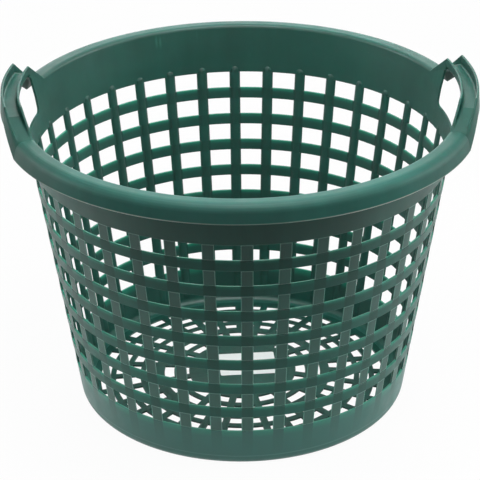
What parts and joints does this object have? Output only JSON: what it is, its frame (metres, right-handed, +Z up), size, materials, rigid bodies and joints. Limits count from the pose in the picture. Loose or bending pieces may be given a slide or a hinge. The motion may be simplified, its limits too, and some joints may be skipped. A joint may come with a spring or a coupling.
{
  "type": "garden basket",
  "caption": "Round tapered lattice basket of dark green moulded plastic with a slotted base, a rolled rim and two raised grips, for picking and carrying a harvest.",
  "frame": {"origin": "centre of the foot ring, on the floor", "axes": "+Z up along the basket's axis, +X towards the right-hand grip, -Y towards the viewer's front"},
  "size_m": [0.4586, 0.4572, 0.3298],
  "materials": {
    "green_plastic": "dark green moulded plastic, satin and slightly translucent where it is thin",
    "label_paper": "blank white paper label, smooth and matt"
  },
  "bodies": {
    "root": {"base_plate": "green_plastic", "base_corner": "green_plastic", "lower_band": "green_plastic", "hoop_1": "green_plastic", "hoop_2": "green_plastic", "hoop_3": "green_plastic", "hoop_4": "green_plastic", "hoop_5": "green_plastic", "hoop_6": "green_plastic", "hoop_7": "green_plastic", "ribs_front": "green_plastic", "ribs_right": "green_plastic", "ribs_back": "green_plastic", "ribs_left": "green_plastic", "upper_band": "green_plastic", "rim_front": "green_plastic", "rim_back": "green_plastic", "right_grip": "green_plastic", "left_grip": "green_plastic", "right_leg_front": "green_plastic", "right_leg_back": "green_plastic", "left_leg_front": "green_plastic", "left_leg_back": "green_plastic", "label": "label_paper"}
  },
  "joints": []
}
